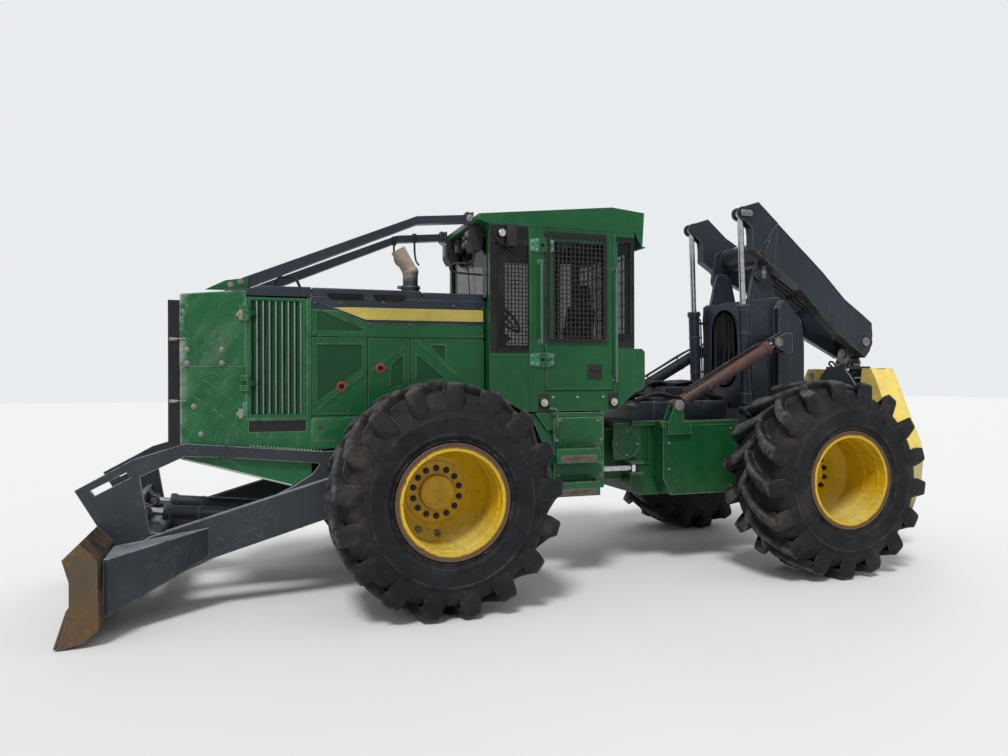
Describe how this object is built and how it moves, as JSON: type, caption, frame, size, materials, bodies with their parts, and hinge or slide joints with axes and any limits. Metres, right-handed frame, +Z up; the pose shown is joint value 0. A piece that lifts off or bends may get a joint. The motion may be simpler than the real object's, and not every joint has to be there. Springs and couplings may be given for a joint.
{
  "type": "grapple skidder",
  "caption": "Articulated four-wheel forestry skidder with front blade, guarded cab, tilting rear arch, boom and rotating log grapple.",
  "frame": {"origin": "on the ground, below the middle of the overall box", "axes": "+X towards the front blade, +Y to the vehicle's left, +Z up"},
  "size_m": [8.021, 3.25, 3.642],
  "materials": {
    "green_paint": "worn gloss paint",
    "charcoal_paint": "worn satin paint",
    "yellow_paint": "worn gloss paint",
    "bare_steel": "dusty steel",
    "rusty_steel": "rust over worn steel",
    "chrome_rod": "hard chrome rod",
    "tyre_rubber": "dusty rubber",
    "window_glass": "tinted glass",
    "black_parts": "black textured plastic",
    "engine_iron": "oily cast iron",
    "seat_cloth": "woven cloth"
  },
  "bodies": {
    "front_frame": {"front_chassis": "green_paint", "front_axle": "bare_steel", "engine_block": "engine_iron", "radiator_housing": "green_paint", "front_grille": "charcoal_paint", "hood_top": "charcoal_paint", "hood_sides": "green_paint", "limb_risers": "charcoal_paint", "exhaust_stack": "rusty_steel", "cab_shell": "green_paint", "cab_roof": "green_paint", "cab_glass": "window_glass", "cab_guards": "black_parts", "seat_unit": "seat_cloth", "console": "black_parts", "access_steps": "charcoal_paint", "handrails": "bare_steel", "work_lamps": "black_parts"},
    "rear_frame": {"rear_chassis": "green_paint", "side_boxes": "green_paint", "rear_axle": "bare_steel", "deck_covers": "charcoal_paint"},
    "cooler_door_l": {"cooler_door_left": "green_paint"},
    "cooler_door_r": {"cooler_door_right": "green_paint"},
    "cab_door_l": {"cab_door_left": "green_paint", "door_glass_left": "window_glass", "door_guard_left": "black_parts"},
    "cab_door_r": {"cab_door_right": "green_paint", "door_glass_right": "window_glass", "door_guard_right": "black_parts"},
    "blade": {"blade_frame": "charcoal_paint", "moldboard": "rusty_steel"},
    "blade_barrels": {"lift_barrels": "charcoal_paint"},
    "blade_rods": {"lift_rods": "chrome_rod"},
    "steer_barrel_l": {"steer_barrel_left": "green_paint"},
    "steer_rod_l": {"steer_rod_left": "chrome_rod"},
    "steer_barrel_r": {"steer_barrel_right": "green_paint"},
    "steer_rod_r": {"steer_rod_right": "chrome_rod"},
    "arch_unit": {"arch": "charcoal_paint", "winch": "bare_steel"},
    "arch_barrel_pair": {"arch_barrels": "rusty_steel"},
    "arch_rod_pair": {"arch_rods": "chrome_rod"},
    "boom_barrel_pair": {"boom_barrels": "charcoal_paint"},
    "boom_rod_pair": {"boom_rods": "chrome_rod"},
    "boom_unit": {"boom": "charcoal_paint"},
    "crosshead_unit": {"crosshead": "charcoal_paint"},
    "yoke_unit": {"yoke": "bare_steel"},
    "grapple_unit": {"grapple_head": "charcoal_paint"},
    "tong_l": {"tong_left": "yellow_paint"},
    "tong_r": {"tong_right": "yellow_paint"},
    "tong_cyl": {"tong_barrel": "charcoal_paint"},
    "tong_ram": {"tong_rod": "chrome_rod"},
    "wheel_front_left": {"tyre_front_left": "tyre_rubber", "rim_front_left": "yellow_paint"},
    "wheel_front_right": {"tyre_front_right": "tyre_rubber", "rim_front_right": "yellow_paint"},
    "wheel_rear_left": {"tyre_rear_left": "tyre_rubber", "rim_rear_left": "yellow_paint"},
    "wheel_rear_right": {"tyre_rear_right": "tyre_rubber", "rim_rear_right": "yellow_paint"}
  },
  "joints": [
    {"name": "articulation", "type": "hinge", "parent": "front_frame", "child": "rear_frame", "pos_m": [-0.555, 0, 0.95], "axis": [0, 0, 1], "range_deg": [-40, 40]},
    {"name": "wheel_front_left_spin", "type": "hinge", "parent": "front_frame", "child": "wheel_front_left", "pos_m": [1.295, 1.2375, 0.905], "axis": [0, 1, 0], "continuous": true},
    {"name": "wheel_front_right_spin", "type": "hinge", "parent": "front_frame", "child": "wheel_front_right", "pos_m": [1.295, -1.2375, 0.905], "axis": [0, 1, 0], "continuous": true},
    {"name": "wheel_rear_left_spin", "type": "hinge", "parent": "rear_frame", "child": "wheel_rear_left", "pos_m": [-2.405, 1.2375, 0.905], "axis": [0, 1, 0], "continuous": true},
    {"name": "wheel_rear_right_spin", "type": "hinge", "parent": "rear_frame", "child": "wheel_rear_right", "pos_m": [-2.405, -1.2375, 0.905], "axis": [0, 1, 0], "continuous": true},
    {"name": "cab_door_left_hinge", "type": "hinge", "parent": "front_frame", "child": "cab_door_l", "pos_m": [0.213, 0.72, 2.4], "axis": [0, 0, -1], "range_deg": [0, 95]},
    {"name": "cab_door_right_hinge", "type": "hinge", "parent": "front_frame", "child": "cab_door_r", "pos_m": [0.213, -0.72, 2.4], "axis": [0, 0, 1], "range_deg": [0, 95]},
    {"name": "cooler_door_left_hinge", "type": "hinge", "parent": "front_frame", "child": "cooler_door_l", "pos_m": [2.756, 0.6, 2], "axis": [0, 0, 1], "range_deg": [-95, 0]},
    {"name": "cooler_door_right_hinge", "type": "hinge", "parent": "front_frame", "child": "cooler_door_r", "pos_m": [2.756, -0.6, 2], "axis": [0, 0, -1], "range_deg": [-95, 0]},
    {"name": "blade_lift", "type": "hinge", "parent": "front_frame", "child": "blade", "pos_m": [1.715, 0, 1.06], "axis": [0, -1, 0], "range_deg": [-5, 18]},
    {"name": "lift_barrel_pivot", "type": "hinge", "parent": "front_frame", "child": "blade_barrels", "pos_m": [2.41, 0, 0.64], "axis": [0, -1, 0], "range_deg": [-7.76, 26.65]},
    {"name": "lift_rod_slide", "type": "slide", "parent": "blade_barrels", "child": "blade_rods", "axis": [0.9945, 0, 0.1051], "range_m": [-0.0545, 0.1859]},
    {"name": "steer_barrel_left_pivot", "type": "hinge", "parent": "front_frame", "child": "steer_barrel_l", "pos_m": [0.415, 0.45, 0.965], "axis": [0, 0, 1], "range_deg": [-8.71, 8.71]},
    {"name": "steer_rod_left_slide", "type": "slide", "parent": "steer_barrel_l", "child": "steer_rod_l", "axis": [-0.9991, 0.0418, 0], "range_m": [-0.3414, 0.3414]},
    {"name": "steer_barrel_right_pivot", "type": "hinge", "parent": "front_frame", "child": "steer_barrel_r", "pos_m": [0.415, -0.45, 0.965], "axis": [0, 0, 1], "range_deg": [-8.71, 8.71]},
    {"name": "steer_rod_right_slide", "type": "slide", "parent": "steer_barrel_r", "child": "steer_rod_r", "axis": [-0.9991, -0.0418, 0], "range_m": [-0.3414, 0.3414]},
    {"name": "arch_tilt", "type": "hinge", "parent": "rear_frame", "child": "arch_unit", "pos_m": [-2.505, 0, 1.27], "axis": [0, -1, 0], "range_deg": [0, 40]},
    {"name": "arch_barrel_pivot", "type": "hinge", "parent": "rear_frame", "child": "arch_barrel_pair", "pos_m": [-1.198, 0, 1.569], "axis": [0, -1, 0], "range_deg": [-0.5, 12.57]},
    {"name": "arch_rod_slide", "type": "slide", "parent": "arch_barrel_pair", "child": "arch_rod_pair", "axis": [-0.8794, 0, 0.4761], "range_m": [-0.004, 0.5618]},
    {"name": "boom_lift", "type": "hinge", "parent": "arch_unit", "child": "boom_unit", "pos_m": [-2.351, 0, 2.935], "axis": [0, 1, 0], "range_deg": [-5, 50]},
    {"name": "boom_barrel_pivot", "type": "hinge", "parent": "arch_unit", "child": "boom_barrel_pair", "pos_m": [-2.105, 0, 1.5], "axis": [0, -1, 0], "range_deg": [-13.47, 1.8]},
    {"name": "boom_rod_slide", "type": "slide", "parent": "boom_barrel_pair", "child": "boom_rod_pair", "axis": [0.0312, 0, 0.9995], "range_m": [-0.3775, 0.0413]},
    {"name": "crosshead_swing", "type": "hinge", "parent": "boom_unit", "child": "crosshead_unit", "pos_m": [-3.835, 0, 2.235], "axis": [0, 1, 0], "range_deg": [0, 60]},
    {"name": "yoke_swing", "type": "hinge", "parent": "crosshead_unit", "child": "yoke_unit", "pos_m": [-3.835, 0, 2.11], "axis": [1, 0, 0], "range_deg": [-15, 15]},
    {"name": "grapple_rotator", "type": "hinge", "parent": "yoke_unit", "child": "grapple_unit", "pos_m": [-3.835, 0, 1.94], "axis": [0, 0, 1], "continuous": true},
    {"name": "tong_left_hinge", "type": "hinge", "parent": "grapple_unit", "child": "tong_l", "pos_m": [-3.835, 0.33, 1.6], "axis": [1, 0, 0], "range_deg": [-20, 22]},
    {"name": "tong_right_hinge", "type": "hinge", "parent": "grapple_unit", "child": "tong_r", "pos_m": [-3.835, -0.33, 1.6], "axis": [-1, 0, 0], "range_deg": [-20.5, 22.5]},
    {"name": "tong_barrel_pivot", "type": "hinge", "parent": "tong_r", "child": "tong_cyl", "pos_m": [-3.835, -0.43, 1.85], "axis": [1, 0, 0], "range_deg": [-20.5, 22.5]},
    {"name": "tong_rod_slide", "type": "slide", "parent": "tong_cyl", "child": "tong_ram", "axis": [0, 1, 0], "range_m": [-0.1953, 0.1779]}
  ],
  "couplings": [
    {"joint": "lift_barrel_pivot", "follows": "blade_lift", "ratio": 1.4526},
    {"joint": "lift_rod_slide", "follows": "blade_lift", "m_per_rad": 0.57891},
    {"joint": "steer_barrel_left_pivot", "follows": "articulation", "ratio": 0.20519},
    {"joint": "steer_rod_left_slide", "follows": "articulation", "m_per_rad": 0.48323},
    {"joint": "steer_barrel_right_pivot", "follows": "articulation", "ratio": 0.20519},
    {"joint": "steer_rod_right_slide", "follows": "articulation", "m_per_rad": -0.48323},
    {"joint": "arch_barrel_pivot", "follows": "arch_tilt", "ratio": 0.3018},
    {"joint": "arch_rod_slide", "follows": "arch_tilt", "m_per_rad": 0.79901},
    {"joint": "boom_barrel_pivot", "follows": "boom_lift", "ratio": -0.25931},
    {"joint": "boom_rod_slide", "follows": "boom_lift", "m_per_rad": -0.42798},
    {"joint": "tong_right_hinge", "follows": "tong_left_hinge", "ratio": 1},
    {"joint": "tong_barrel_pivot", "follows": "tong_left_hinge", "ratio": 1},
    {"joint": "tong_rod_slide", "follows": "tong_left_hinge", "m_per_rad": -0.49814}
  ]
}
